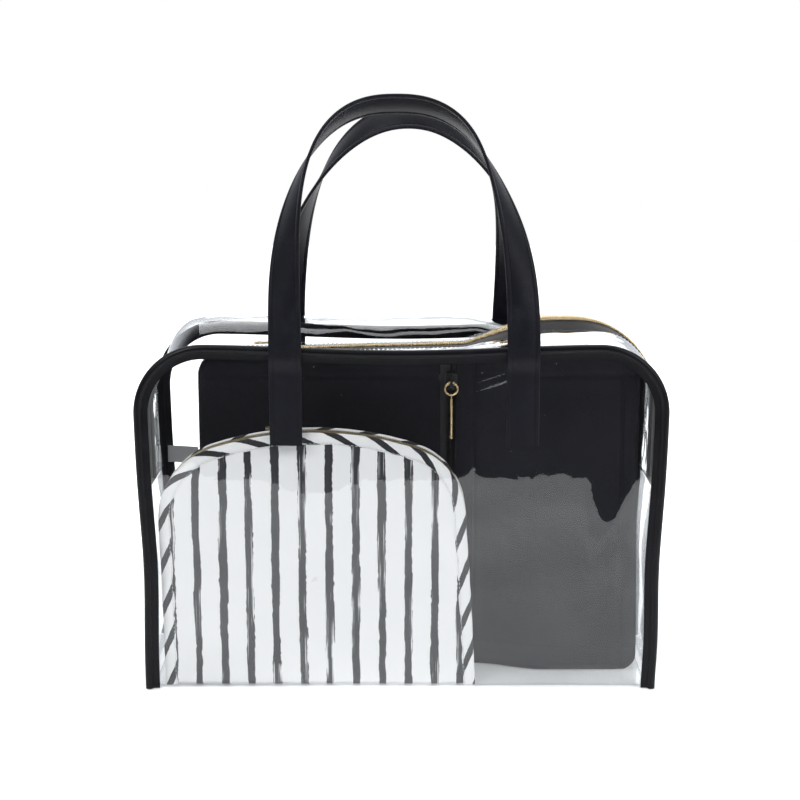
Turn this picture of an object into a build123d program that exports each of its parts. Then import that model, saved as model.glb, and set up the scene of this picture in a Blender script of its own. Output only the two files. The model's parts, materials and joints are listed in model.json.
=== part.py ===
from build123d import *
import math
import os

# A clear travel bag with black piping, two strap handles and a top zipper, holding two zipped
# pouches: a striped dome pouch in front and a flat black pouch behind it. Millimetres, +Z up,
# +X to the right seen from the front, +Y to the back. The origin is under the middle of the base.

# Clear bag
TOP = 250.0  # height of the piping's centre line along the top
HALF_TOP = 187.0  # half width between the piping's centre lines, at the top
HALF_BOTTOM = 183.0  # and at the base
HALF_DEPTH = 59.0  # from the middle of the bag to each panel
CORNER = 47.0  # radius of the piping's centre line round a top corner
PIPE_R = 3.0
FILM = 0.5
GUSSET_TOP = 140.0  # the zipper starts above this height on both sides
PIPE_GAP = HALF_DEPTH - PIPE_R - 0.2  # where films stop, just clear of the round piping

# Zippers, all of one size: a tape of two halves with a coil sewn on top of each
TAPE = 0.6
TAPE_WIDTH = 16.5
MESH_GAP = 0.6  # half the slot that the slider's post runs in
COIL_WIDTH = 2.7
COIL_HEIGHT = 2.0
SLIDER_LENGTH = 12.0
SLIDER_HALF = 4.6
PLATE = 1.0
PLATE_GAP = 0.4
POST = 0.4
PIVOT_HEIGHT = TAPE / 2 + COIL_HEIGHT + PLATE_GAP + PLATE + 1.9  # of a pull above its tape
PULL_LENGTH = 24.0
SHORT_PULL = 16.0  # of the striped pouch's slider

# Line of the top zipper, which sags to the left and bulges up on the right
ZIP_LEFT = 237.5
ZIP_MIDDLE = 243.5
ZIP_RIGHT = 263.0
ZIP_RISE_FROM = 52.0
ZIP_RISE_TO = 78.0
ZIP_RADII = [45.0, 25.0, 25.0, 62.0]
ZIP_SLOPE = math.atan2(ZIP_MIDDLE - ZIP_LEFT, ZIP_RISE_FROM + HALF_TOP)
SLIDER_X = -84.0

# Strap handles
STRAP = 23.0
STRAP_THICK = 2.4
HANDLE_HALF = 83.5  # half the distance between the legs' centre lines
HANDLE_SHIFT = 2.0  # the legs sit this far to one side of the bag's middle
SEW_LOW = 181.0
SEW_HIGH = 233.0
HINGE_Z = TOP + 2.0
HINGE_Y = HALF_DEPTH + 7.0
ARCH_FOOT = 262.0  # height where the legs run into the arch
ARCH_RISE = 158.0
FRONT_SQUARE = 2.5  # exponent of an arch's outline: 2 is an ellipse, more is squarer
BACK_SQUARE = 2.1
FRONT_SKEW = -5.5  # how far an arch has flopped sideways at its crown
BACK_SKEW = 7.0
STRAP_ROLL = 118.0  # turn of the strap about its own line, from the legs to the crown, degrees
FRONT_LEAN = 7.0
BACK_LEAN = 20.0

# Striped dome pouch, its own middle at x 0 and its base at z 0 until it is placed
DOME_X = -62.5
DOME_FRONT = -54.0
DOME_BACK = -34.0
DOME_HALF = 110.5
DOME_FOOT = 113.0
DOME_SPRING = 125.0  # height where the straight sides end
DOME_RISE = 63.0
SHOULDER_R = 54.0
BINDING = 9.0
BINDING_THICK = 2.4
CLOTH = 1.0
DOME_GUSSET_INSET = 2.0
DOME_SLIDER_ANGLE = -4.5

# Black pouch
BLACK_X = 13.0
BLACK_HALF = 162.0
BLACK_HEIGHT = 232.0
BLACK_FRONT = -9.0
BLACK_DEPTH = 48.0
BLACK_CORNER = 12.0
BLACK_ZIP_X = 36.5
BLACK_SLIDER_Z = 218.0
FLAP = 12.0

FLOOR_GAP = 0.3  # between a pouch and the film that it stands on
UP_Y = Vector(0, 1, 0)


def side_x(z):
    """Half width of the bag between its piping's centre lines at a height."""
    return HALF_BOTTOM + (HALF_TOP - HALF_BOTTOM) * z / TOP


def slab(face, low_y, high_y):
    """A face that stands in the XZ plane, made solid between two depths."""
    return Pos(0, low_y, 0) * extrude(face, amount=high_y - low_y, dir=(0, 1, 0))


def block(x, y, z):
    """A box given by its lowest and highest value along each axis."""
    size = [high - low for low, high in (x, y, z)]
    middle = [(high + low) / 2 for low, high in (x, y, z)]
    return Pos(*middle) * Box(*size)


def back_copy(solid):
    """The same piece on the other side of the XZ plane."""
    return mirror(solid, about=Plane.XZ)


def outline(inset, low=0.0):
    """The bag's inverted U, inside the piping's centre line by an inset, from a height up."""
    return FilletPolyline(
        (-side_x(low) + inset, 0, low),
        (-HALF_TOP + inset, 0, TOP - inset),
        (HALF_TOP - inset, 0, TOP - inset),
        (side_x(low) - inset, 0, low),
        radius=CORNER - inset,
    )


def zipper_line():
    """The middle of the top zipper, from the left gusset over the top to the right one."""
    return FilletPolyline(
        (-side_x(GUSSET_TOP), 0, GUSSET_TOP),
        (-HALF_TOP, 0, ZIP_LEFT),
        (ZIP_RISE_FROM, 0, ZIP_MIDDLE),
        (ZIP_RISE_TO, 0, ZIP_RIGHT),
        (HALF_TOP, 0, ZIP_RIGHT),
        (side_x(GUSSET_TOP), 0, GUSSET_TOP),
        radius=ZIP_RADII,
    )


def closed_face(wire):
    """The face inside an open wire and the straight line that joins its ends."""
    return make_face(wire + Line(wire @ 1, wire @ 0))


def ribbon(stations):
    """A strip through stations, each two edge points and half the thickness as a vector."""
    sections = []
    for edge_a, edge_b, half in stations:
        corners = [edge_a - half, edge_b - half, edge_b + half, edge_a + half]
        sections.append(Face(Wire.make_polygon(corners)))
    return loft(sections, ruled=True)


def panel():
    """Clear front panel; the back panel mirrors it."""
    face = closed_face(outline(PIPE_R + 0.05, FILM))
    return slab(face, -HALF_DEPTH - FILM / 2, -HALF_DEPTH + FILM / 2)


def bottom_panel():
    """Clear base sheet, narrower at its long edges, where the piping comes down."""
    middle = block([-HALF_BOTTOM + FILM, HALF_BOTTOM - FILM], [-PIPE_GAP, PIPE_GAP], [0, FILM])
    edge = HALF_DEPTH + FILM / 2
    inside = HALF_BOTTOM - PIPE_R - 0.2
    return middle + block([-inside, inside], [-edge, edge], [0, FILM])


def side_gusset(side):
    """Clear side film from the base to the zipper; side is -1 for left and 1 for right."""
    foot, head = side * HALF_BOTTOM, side * side_x(GUSSET_TOP)
    stations = []
    for x, z in ((foot, FILM), (head, GUSSET_TOP - 0.2)):
        stations.append((Vector(x, -PIPE_GAP, z), Vector(x, PIPE_GAP, z), Vector(FILM / 2, 0, 0)))
    return ribbon(stations)


def piping():
    """Round piping from one front corner of the base up, over the top and down again."""
    path = outline(0, 0.2)
    return sweep(Plane(path @ 0, z_dir=path % 0) * Circle(PIPE_R), path=path)


def top_strip():
    """Clear film from the front piping to the zipper's front tape, ruled between the two lines."""
    edge, zipper = outline(0, GUSSET_TOP), zipper_line()
    count = 48
    stations = []
    for i in range(count + 1):
        at = i / count
        outer = edge @ at - UP_Y * PIPE_GAP
        inner = zipper @ at - UP_Y * (TAPE_WIDTH + 0.4)
        along = edge % at + zipper % at
        half = along.cross(inner - outer).normalized() * (FILM / 2)
        stations.append((outer, inner, half))
    return ribbon(stations)


def zipper_strip(low_y, high_y, low, high, skip=0):
    """A band along the top zipper between two depths and two heights over the tape's middle."""
    zipper = zipper_line()
    count = 64
    stations = []
    for i in range(skip, count + 1 - skip):
        at = i / count
        out = UP_Y.cross(zipper % at).normalized() * -1
        middle = zipper @ at + out * ((low + high) / 2)
        stations.append((middle + UP_Y * low_y, middle + UP_Y * high_y, out * ((high - low) / 2)))
    return ribbon(stations)


def zipper_stop(side):
    """Metal clip that closes the end of the two coils."""
    x = side * side_x(GUSSET_TOP)
    inner, outer = x + side * (TAPE / 2 + 0.15), x + side * (TAPE / 2 + COIL_HEIGHT)
    reach = MESH_GAP + COIL_WIDTH
    return block(sorted([inner, outer]), [-reach, reach], [GUSSET_TOP + 4.0, GUSSET_TOP + 7.0])


def care_label():
    """Blank woven label caught in the left seam of the back panel."""
    behind = HALF_DEPTH - FILM / 2
    return block([-181.8, -158.0], [behind - 0.8, behind - 0.4], [142.0, 155.0])


def handle_end(x):
    """End of a front strap: flat where it is sewn on, then bent out over the piping."""
    inner = HALF_DEPTH + FILM / 2 + 0.05
    over = HALF_DEPTH + PIPE_R + 0.3
    bend = 11.0
    head = HINGE_Z - 1.5
    profile = [
        (inner, SEW_LOW),
        (inner, SEW_HIGH),
        (over, SEW_HIGH + bend),
        (over, head),
        (over + STRAP_THICK, head),
        (over + STRAP_THICK, SEW_HIGH + bend - 0.5),
        (inner + STRAP_THICK, SEW_HIGH - 0.5),
        (inner + STRAP_THICK, SEW_LOW),
    ]
    face = Face(Wire.make_polygon([(x - STRAP / 2, -out, z) for out, z in profile]))
    return extrude(face, amount=STRAP, dir=(1, 0, 0))


def arch_point(turn, shift, square, skew):
    """Centre of a strap at a turn from one leg (0) over the crown (90) to the other leg (180)."""
    angle = math.radians(min(max(turn, 0), 180))
    reach = math.copysign(abs(math.cos(angle)) ** (2 / square), math.cos(angle))
    height = max(math.sin(angle), 0.0) ** (2 / square)
    middle_y = -(HALF_DEPTH + PIPE_R + 0.3 + STRAP_THICK / 2)
    x = shift - HANDLE_HALF * reach + skew * math.sin(angle)
    return Vector(x, middle_y, ARCH_FOOT + ARCH_RISE * height)


def handle_loop(shift, lean, square, skew):
    """A front strap above its hinge line: two legs and an arch whose strap rolls over."""
    turns = list(range(0, 181, 9))
    centres = [arch_point(turn, shift, square, skew) for turn in turns]
    leg = Vector(0, 0, HINGE_Z + 2.0 - ARCH_FOOT)
    centres = [centres[0] + leg] + centres + [centres[-1] + leg]
    turns = [0] + turns + [180]
    stations = []
    for index, (turn, centre) in enumerate(zip(turns, centres)):
        before = centres[max(index - 1, 0)]
        after = centres[min(index + 1, len(centres) - 1)]
        along = (after - before).normalized()
        roll = math.radians(STRAP_ROLL * math.sin(math.radians(turn)))
        outward = UP_Y.cross(along) * -1
        face_normal = UP_Y * -math.cos(roll) + outward * math.sin(roll)
        across = along.cross(face_normal).normalized() * (STRAP / 2)
        stations.append((centre - across, centre + across, face_normal * (STRAP_THICK / 2)))
    hinge = Axis((0, -HINGE_Y, HINGE_Z), (1, 0, 0))
    return ribbon(stations).rotate(hinge, -lean)


def slider():
    """Zipper slider over its tape at the origin: it runs along X and its crown stands up in Z."""
    half = SLIDER_LENGTH / 2
    over_coil = TAPE / 2 + COIL_HEIGHT + PLATE_GAP
    under_tape = -TAPE / 2 - PLATE_GAP
    body = block([-half, half], [-SLIDER_HALF, SLIDER_HALF], [over_coil, over_coil + PLATE])
    body = fillet(body.edges().filter_by(Axis.Z), 2.0)
    base = block([-half, half], [-SLIDER_HALF, SLIDER_HALF], [under_tape - PLATE, under_tape])
    body += fillet(base.edges().filter_by(Axis.Z), 2.0)
    body += block([-2.0, 2.0], [-POST / 2, POST / 2], [under_tape - PLATE, over_coil + PLATE])
    rail = [MESH_GAP + COIL_WIDTH + PLATE_GAP, SLIDER_HALF]
    flange = block([-half + 2, half - 2], rail, [TAPE / 2 + PLATE_GAP, over_coil + PLATE])
    body += flange + back_copy(flange)
    crown_top = PIVOT_HEIGHT + 2.2
    crown = block([-4.2, 4.2], [-0.8, 0.8], [over_coil + PLATE, crown_top])
    crown = fillet(crown.edges().filter_by(Axis.Y).group_by(Axis.Z)[-1], 2.0)
    window = block([-3.0, 3.0], [-1, 1], [over_coil + PLATE + 0.3, crown_top - 0.9])
    return body + crown - window


def pull_eye():
    """Cross bar through a slider's crown with the two arms that hold it, pivot at the origin."""
    bar = extrude(Plane.XZ * Circle(0.6), amount=2.6, both=True)
    arm = block([-0.6, 6.5], [1.6, 2.6], [-0.6, 0.6])
    return bar + arm + back_copy(arm)


def tab_pull(length):
    """Flat pull tab along +X from its pivot at the origin."""
    tab = block([6.0, length], [-3.5, 3.5], [-0.6, 0.6])
    tab = fillet(tab.edges().filter_by(Axis.Z), 1.8)
    hole = Pos(length - 4.0, 0, 0) * Cylinder(1.2, 4)
    return pull_eye() + tab - hole


def ring_pull():
    """Round ring that hangs from its pivot at the origin down to the bar's eye."""
    ring = Pos(5.0, 0, 0) * Torus(4.6, 0.7)
    return pull_eye() - block([2.5, 7.0], [-3, 3], [-1, 1]) + ring


def bar_pull():
    """Thin bar with a small end bead, hooked on the ring; the pivot is at the origin."""
    hook = Pos(10.25, 0, 0) * Rot(90, 0, 0) * Torus(2.0, 0.45)
    rod = Pos(26.3, 0, 0) * Rot(0, 90, 0) * Cylinder(0.9, 28.0)
    bead = Pos(41.0, 0, 0) * Sphere(1.5)
    return hook + rod + bead


def arc_xz(centre_x, centre_z, radius, start, end):
    """Arc in the XZ plane about a centre, angles in degrees from +X towards +Z."""
    points = []
    for angle in (start, (start + end) / 2, end):
        turn = math.radians(angle)
        points.append((centre_x + radius * math.cos(turn), 0, centre_z + radius * math.sin(turn)))
    return ThreePointArc(*points)


SHOULDER_X = DOME_HALF - SHOULDER_R
CROWN_DROP = (SHOULDER_X**2 - (DOME_RISE - SHOULDER_R) ** 2) / (2 * (DOME_RISE - SHOULDER_R))
CROWN_R = DOME_RISE + CROWN_DROP  # radius of the flatter arc over the middle of the dome
CROWN_Z = DOME_SPRING - CROWN_DROP
CROWN_EDGE = math.degrees(math.atan2(CROWN_DROP, SHOULDER_X))


def dome(inset, low=0.0):
    """The dome's face inside its outline by an inset: straight sides under three arcs."""
    right = arc_xz(SHOULDER_X, DOME_SPRING, SHOULDER_R - inset, 0, CROWN_EDGE)
    crown = arc_xz(0, CROWN_Z, CROWN_R - inset, CROWN_EDGE, 180 - CROWN_EDGE)
    left = arc_xz(-SHOULDER_X, DOME_SPRING, SHOULDER_R - inset, 180 - CROWN_EDGE, 180)
    foot = DOME_FOOT - inset
    sides = [
        Line((foot, 0, low), right @ 0),
        Line(left @ 1, (-foot, 0, low)),
        Line((-foot, 0, low), (foot, 0, low)),
    ]
    return make_face([right, crown, left] + sides)


def above(solid, z):
    """The part of a solid over a height."""
    return solid & block([-400, 400], [-200, 200], [z, 600])


def dome_pieces():
    """Every piece of the dome pouch that moves as one with it, in the pouch's own place."""
    tape_y = (DOME_FRONT + DOME_BACK) / 2
    front_in, back_in = DOME_FRONT + BINDING_THICK, DOME_BACK - BINDING_THICK
    skin = DOME_GUSSET_INSET
    panel_face = dome(BINDING + 0.1, 1.0)
    rim = dome(0, 1.0) - dome(BINDING, 0)
    inside = dome(skin + CLOTH, skin + CLOTH)
    shell = slab(dome(skin, 0) - inside, front_in, back_in)
    arch_tape = dome(skin) - dome(skin + TAPE, -1)
    arch_coil = dome(skin - COIL_HEIGHT) - dome(skin, -1)
    tape_reach = (back_in - front_in) / 2
    coil_reach = MESH_GAP + COIL_WIDTH
    halves = {
        "front": ([tape_y - tape_reach, tape_y - MESH_GAP], [tape_y - coil_reach, tape_y - MESH_GAP]),
        "back": ([tape_y + MESH_GAP, tape_y + tape_reach], [tape_y + MESH_GAP, tape_y + coil_reach]),
    }
    pieces = {
        "striped_pouch_front": slab(panel_face, DOME_FRONT + 0.5, DOME_FRONT + 0.5 + CLOTH),
        "striped_pouch_back": slab(panel_face, DOME_BACK - 0.5 - CLOTH, DOME_BACK - 0.5),
        "striped_pouch_front_binding": slab(rim, DOME_FRONT, front_in),
        "striped_pouch_back_binding": slab(rim, back_in, DOME_BACK),
        "striped_pouch_gusset": shell - above(shell, DOME_SPRING),
    }
    for name, (tape, coil) in halves.items():
        pieces[f"striped_pouch_{name}_tape"] = above(slab(arch_tape, *tape), DOME_SPRING + 0.2)
        pieces[f"striped_pouch_{name}_coil"] = above(slab(arch_coil, *coil), DOME_SPRING + 0.2)
    place = Pos(DOME_X, 0, FILM + FLOOR_GAP)
    return {name: place * solid for name, solid in pieces.items()}


def dome_slider_place():
    """Where the dome pouch's slider sits on the crown arc, its X along the arc to the right."""
    radius = CROWN_R - DOME_GUSSET_INSET - TAPE / 2
    centre = Pos(DOME_X, (DOME_FRONT + DOME_BACK) / 2, CROWN_Z + FILM + FLOOR_GAP)
    return centre * Rot(0, DOME_SLIDER_ANGLE, 0) * Pos(0, 0, radius)


def black_pieces():
    """Every piece of the black pouch that moves as one with it."""
    low, high = FILM + FLOOR_GAP, FILM + FLOOR_GAP + BLACK_HEIGHT
    left, right = BLACK_X - BLACK_HALF, BLACK_X + BLACK_HALF
    front, back = BLACK_FRONT, BLACK_FRONT + BLACK_DEPTH
    plane = Plane(origin=(BLACK_X, 0, (low + high) / 2), x_dir=(1, 0, 0), z_dir=(0, -1, 0))
    outer = plane * RectangleRounded(2 * BLACK_HALF, BLACK_HEIGHT, BLACK_CORNER)
    shrink = 2 * CLOTH
    inner = plane * RectangleRounded(
        2 * BLACK_HALF - shrink, BLACK_HEIGHT - shrink, BLACK_CORNER - CLOTH
    )
    whole_front = slab(outer, front, front + CLOTH)
    tape_half = 9.0
    cut_left, cut_right = BLACK_ZIP_X - tape_half, BLACK_ZIP_X + tape_half
    tape_y = [front + 0.2, front + 0.2 + TAPE]
    coil_y = [front + 0.2 - COIL_HEIGHT, front + 0.2]
    run = [low + 1.0, high - 1.0]
    coil_run = [low + 8.0, high - 6.0]
    zip_edge, coil_edge = MESH_GAP, MESH_GAP + COIL_WIDTH
    x = BLACK_ZIP_X
    flap_left = x + SLIDER_HALF + 0.5
    return {
        "black_pouch_left_front": whole_front & block([left, cut_left - 0.1], [-99, 99], [0, 300]),
        "black_pouch_right_front": whole_front & block([cut_right + 0.1, right], [-99, 99], [0, 300]),
        "black_pouch_back": slab(outer, back - CLOTH, back),
        "black_pouch_gusset": slab(outer - inner, front + CLOTH, back - CLOTH),
        "black_pouch_left_tape": block([cut_left, x - zip_edge], tape_y, run),
        "black_pouch_right_tape": block([x + zip_edge, cut_right], tape_y, run),
        "black_pouch_left_coil": block([x - coil_edge, x - zip_edge], coil_y, coil_run),
        "black_pouch_right_coil": block([x + zip_edge, x + coil_edge], coil_y, coil_run),
        "black_pouch_flap": block(
            [flap_left, flap_left + FLAP], [front - 1.2, front - 0.2], [low + 6.0, high - 6.0]
        ),
    }


def black_slider_place():
    """The black pouch's slider: its own X runs down the zipper and its crown faces the front."""
    tape_middle = BLACK_FRONT + 0.2 + TAPE / 2
    turned = Plane(origin=(BLACK_ZIP_X, tape_middle, BLACK_SLIDER_Z), x_dir=(0, 0, -1), z_dir=(0, -1, 0))
    return turned.location


def all_pieces():
    """Every piece by node name."""
    tape = [-TAPE_WIDTH, -MESH_GAP, -TAPE / 2, TAPE / 2]
    coil = [-MESH_GAP - COIL_WIDTH, -MESH_GAP, TAPE / 2, TAPE / 2 + COIL_HEIGHT]
    paired = {
        "panel": panel(),
        "top_strip": top_strip(),
        "piping": piping(),
        "zipper_tape": zipper_strip(*tape),
        "zipper_coil": zipper_strip(*coil, skip=1),
    }
    pieces = {}
    paired["piping"] = Pos(0, -HALF_DEPTH, 0) * paired["piping"]
    for name, solid in paired.items():
        pieces[f"front_{name}"] = solid
        pieces[f"back_{name}"] = back_copy(solid)
    pieces["bottom_panel"] = bottom_panel()
    for name, side in (("left", -1), ("right", 1)):
        pieces[f"{name}_gusset"] = side_gusset(side)
        pieces[f"{name}_zipper_stop"] = zipper_stop(side)
        x = side * HANDLE_HALF
        pieces[f"front_handle_{name}_end"] = handle_end(x + HANDLE_SHIFT)
        pieces[f"back_handle_{name}_end"] = back_copy(handle_end(x - HANDLE_SHIFT))
    pieces["care_label"] = care_label()
    front = handle_loop(HANDLE_SHIFT, FRONT_LEAN, FRONT_SQUARE, FRONT_SKEW)
    back = handle_loop(-HANDLE_SHIFT, BACK_LEAN, BACK_SQUARE, BACK_SKEW)
    pieces["front_handle"] = front
    pieces["back_handle"] = back_copy(back)
    pieces.update(dome_pieces())
    pieces.update(black_pieces())

    slider_z = ZIP_LEFT + (SLIDER_X + HALF_TOP) * math.tan(ZIP_SLOPE)
    main_place = Pos(SLIDER_X, 0, slider_z) * Rot(0, -math.degrees(ZIP_SLOPE), 0)
    lift = Pos(0, 0, PIVOT_HEIGHT)
    pieces["zipper_slider"] = main_place * slider()
    pieces["zipper_pull"] = main_place * lift * Rot(0, 0, 180) * tab_pull(PULL_LENGTH)
    dome_place = dome_slider_place()
    pieces["striped_pouch_slider"] = dome_place * slider()
    pieces["striped_pouch_pull"] = dome_place * lift * Rot(0, 0, 180) * tab_pull(SHORT_PULL)
    black_place = black_slider_place()
    pieces["black_pouch_slider"] = black_place * slider()
    pieces["black_pouch_ring"] = black_place * lift * ring_pull()
    pieces["black_pouch_pull"] = black_place * lift * bar_pull()
    return pieces


os.makedirs("parts", exist_ok=True)
for node, shape in all_pieces().items():
    export_step(shape, f"parts/{node}.step")
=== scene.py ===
import json
import math

import bmesh
import bpy
import numpy as np
from mathutils import Matrix, Vector, noise


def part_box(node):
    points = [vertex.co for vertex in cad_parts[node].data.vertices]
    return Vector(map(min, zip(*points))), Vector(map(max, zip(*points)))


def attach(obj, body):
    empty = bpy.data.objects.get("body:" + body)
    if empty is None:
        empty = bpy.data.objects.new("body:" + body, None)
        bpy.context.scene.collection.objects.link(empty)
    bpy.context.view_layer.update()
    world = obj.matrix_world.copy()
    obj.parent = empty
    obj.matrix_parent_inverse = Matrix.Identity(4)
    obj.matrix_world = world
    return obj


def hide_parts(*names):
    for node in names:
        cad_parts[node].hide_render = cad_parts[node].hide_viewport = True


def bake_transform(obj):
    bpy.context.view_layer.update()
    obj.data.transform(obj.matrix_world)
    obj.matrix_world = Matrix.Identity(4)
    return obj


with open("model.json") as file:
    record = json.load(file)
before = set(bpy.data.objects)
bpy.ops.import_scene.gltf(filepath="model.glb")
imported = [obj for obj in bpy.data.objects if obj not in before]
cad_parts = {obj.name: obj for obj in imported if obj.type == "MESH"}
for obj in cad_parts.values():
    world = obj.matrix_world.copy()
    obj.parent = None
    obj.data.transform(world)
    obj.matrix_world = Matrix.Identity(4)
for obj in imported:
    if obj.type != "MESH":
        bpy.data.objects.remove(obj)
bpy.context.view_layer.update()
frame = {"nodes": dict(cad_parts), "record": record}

MM = 0.001
Y = Vector((0, 1, 0))

# ---------------------------------------------------------------- sizes, in metres, from the frame

pipe_low, pipe_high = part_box("front_piping")
panel_low, panel_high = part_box("front_panel")
PIPE_R = (pipe_high.y - pipe_low.y) / 2
TOP = pipe_high.z - PIPE_R
HALF_DEPTH = -(pipe_high.y + pipe_low.y) / 2
HALF_TOP = 187 * MM
HALF_BOTTOM = 183 * MM
CORNER = 47 * MM
FILM = panel_high.y - panel_low.y
GUSSET_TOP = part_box("left_gusset")[1].z + 0.2 * MM

# ---------------------------------------------------------------- mesh helpers


def finish_mesh(name, verts, faces, uvs, sharp=40):
    """A smooth-shaded mesh object with one UV per vertex, in metres along and across the piece."""
    mesh = bpy.data.meshes.new(name)
    mesh.from_pydata([tuple(v) for v in verts], [], faces)
    layer = mesh.uv_layers.new(name="along")
    flat = np.array([uvs[i] for face in faces for i in face], np.float32)
    layer.data.foreach_set("uv", flat.ravel())
    mesh.validate()
    mesh.shade_smooth()
    mesh.set_sharp_from_angle(angle=math.radians(sharp))
    obj = bpy.data.objects.new(name, mesh)
    bpy.context.scene.collection.objects.link(obj)
    return obj


def thicken(obj, thickness):
    """Makes an open sheet a closed skin, half its thickness to each side."""
    skin = obj.modifiers.new("skin", "SOLIDIFY")
    skin.thickness = thickness
    skin.offset = 0
    bpy.context.view_layer.update()
    graph = bpy.context.evaluated_depsgraph_get()
    mesh = bpy.data.meshes.new_from_object(obj.evaluated_get(graph))
    obj.modifiers.clear()
    obj.data = mesh


def ring_faces(rings, sides, base=0, wrap=True):
    """Four-sided faces between rows of vertices, counted from base; wrap closes each row to a ring."""
    faces = []
    for i in range(rings - 1):
        a, b = base + i * sides, base + (i + 1) * sides
        for j in range(sides if wrap else sides - 1):
            k = (j + 1) % sides
            faces.append((a + j, a + k, b + k, b + j))
    return faces


def tube_faces(rings, sides, base=0):
    """The faces between rings of vertices, with a cap over each end."""
    last = base + (rings - 1) * sides
    caps = [tuple(range(base, base + sides))[::-1], tuple(range(last, last + sides))]
    return ring_faces(rings, sides, base) + caps


def grid(name, rows, thickness=0.0, wrap=False):
    """A sheet through rows of points; thickness makes it a closed skin, wrap joins its last column."""
    rows = np.array(rows, float)
    n, m = rows.shape[:2]
    down = np.linalg.norm(np.diff(rows, axis=0), axis=2).mean(1)
    over = np.linalg.norm(np.diff(rows, axis=1), axis=2).mean(0)
    u = np.concatenate([[0], np.cumsum(over)])
    v = np.concatenate([[0], np.cumsum(down)])
    uvs = [(u[j], v[i]) for i in range(n) for j in range(m)]
    obj = finish_mesh(name, rows.reshape(-1, 3), ring_faces(n, m, wrap=wrap), uvs)
    if thickness:
        thicken(obj, thickness)
    return obj


def sweep(name, stations, profile):
    """A profile of (a, b) points carried along stations of (centre, a direction, b direction)."""
    verts, uvs = [], []
    around = [0.0]
    for (a0, b0), (a1, b1) in zip(profile, profile[1:]):
        around.append(around[-1] + math.hypot(a1 - a0, b1 - b0))
    length, before = 0.0, None
    for centre, a_dir, b_dir in stations:
        length += (centre - before).length if before is not None else 0.0
        before = centre
        for (a, b), v in zip(profile, around):
            verts.append(centre + a_dir * a + b_dir * b)
            uvs.append((length, v))
    return finish_mesh(name, verts, tube_faces(len(stations), len(profile)), uvs)


def flat_oval(width, thick, dips=()):
    """A flat strip's profile with rolled edges; dips are places across it where a seam pulls in."""
    half, edge = width / 2, thick / 2
    top = []
    spots = [-half + edge * (1 - math.cos(t)) for t in (0.5, 0.9, 1.3)]
    inner = [d + s for d in dips for s in (-0.6 * MM, 0, 0.6 * MM)]
    for a in sorted(spots + [-s for s in spots] + inner + [0.0]):
        rim = min(1.0, (half - abs(a)) / edge)
        height = edge * math.sqrt(max(0.0, 1 - (1 - rim) ** 2))
        pull = 0.28 * edge if any(abs(a - d) < 0.1 * MM for d in dips) else 0.0
        top.append((a, height - pull))
    return [(-half, 0.0)] + top + [(half, 0.0)] + [(a, -b) for a, b in reversed(top)]


def join(name, objs):
    """Joins objects into one."""
    bpy.ops.object.select_all(action="DESELECT")
    for obj in objs:
        obj.select_set(True)
    bpy.context.view_layer.objects.active = objs[0]
    bpy.ops.object.join()
    objs[0].name = name
    return objs[0]


STITCH_RINGS = (
    # share of the stitch's length, share of its radius, how many radii it stands over the surface
    (0.0, 0.35, -0.7),
    (0.18, 0.85, 0.0),
    (0.5, 1.0, 0.25),
    (0.82, 0.85, 0.0),
    (1.0, 0.35, -0.7),
)
STITCH_SIDES = 6


def stitches(name, line, pitch=3.3 * MM, length=2.5 * MM, radius=0.33 * MM):
    """A row of thread stitches along a line of (point, normal) pairs, each half sunk in the surface."""
    points = [Vector(p) for p, _ in line]
    normals = [Vector(n).normalized() for _, n in line]
    at = [0.0]
    for a, b in zip(points, points[1:]):
        at.append(at[-1] + (b - a).length)
    verts, faces, uvs = [], [], []
    count = int(at[-1] / pitch)

    def place(s):
        k = min(max(int(np.searchsorted(at, s)) - 1, 0), len(points) - 2)
        f = (s - at[k]) / max(at[k + 1] - at[k], 1e-9)
        return points[k].lerp(points[k + 1], f), normals[k].lerp(normals[k + 1], f).normalized()

    for i in range(count):
        start = (i + 0.5) * pitch - length / 2
        faces += tube_faces(len(STITCH_RINGS), STITCH_SIDES, len(verts))
        along = (place(start + length)[0] - place(start)[0]).normalized()
        for share, size, lift in STITCH_RINGS:
            centre, normal = place(start + share * length)
            side = along.cross(normal).normalized()
            for k in range(STITCH_SIDES):
                turn = 2 * math.pi * k / STITCH_SIDES
                out = side * math.cos(turn) + normal * math.sin(turn)
                verts.append(centre + normal * radius * lift + out * radius * size)
                uvs.append((start + share * length, k * radius))
    return finish_mesh(name, verts, faces, uvs)


def smooth_step(x):
    x = min(max(x, 0.0), 1.0)
    return x * x * (3 - 2 * x)


def bell(x):
    return math.exp(-x * x)


def ripple(x, y, size, seed):
    """Smooth noise from -1 to 1 over a plane, with features about size across."""
    return noise.noise(Vector((x / size, y / size, seed * 7.31)))


def fillet_path(corners, radii, step):
    """Points (x, z) along straight runs joined by tangent arcs."""
    pts = [Vector(c) for c in corners]
    out = []

    def run(a, b):
        count = max(1, int((b - a).length / step))
        for i in range(count):
            out.append(a.lerp(b, i / count))

    start = pts[0]
    for i in range(1, len(pts) - 1):
        before, after = (pts[i] - pts[i - 1]).normalized(), (pts[i + 1] - pts[i]).normalized()
        turn = before.angle(after)
        reach = radii[i - 1] * math.tan(turn / 2)
        first, last = pts[i] - before * reach, pts[i] + after * reach
        run(start, first)
        side = Vector((-before.y, before.x))
        if side.dot(after) < 0:
            side = -side
        centre = first + side * radii[i - 1]
        count = max(3, int(radii[i - 1] * turn / step))
        for k in range(count):
            a = turn * k / count
            out.append(centre - side * radii[i - 1] * math.cos(a) + before * radii[i - 1] * math.sin(a))
        start = last
    run(start, pts[-1])
    out.append(pts[-1])
    return out


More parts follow.
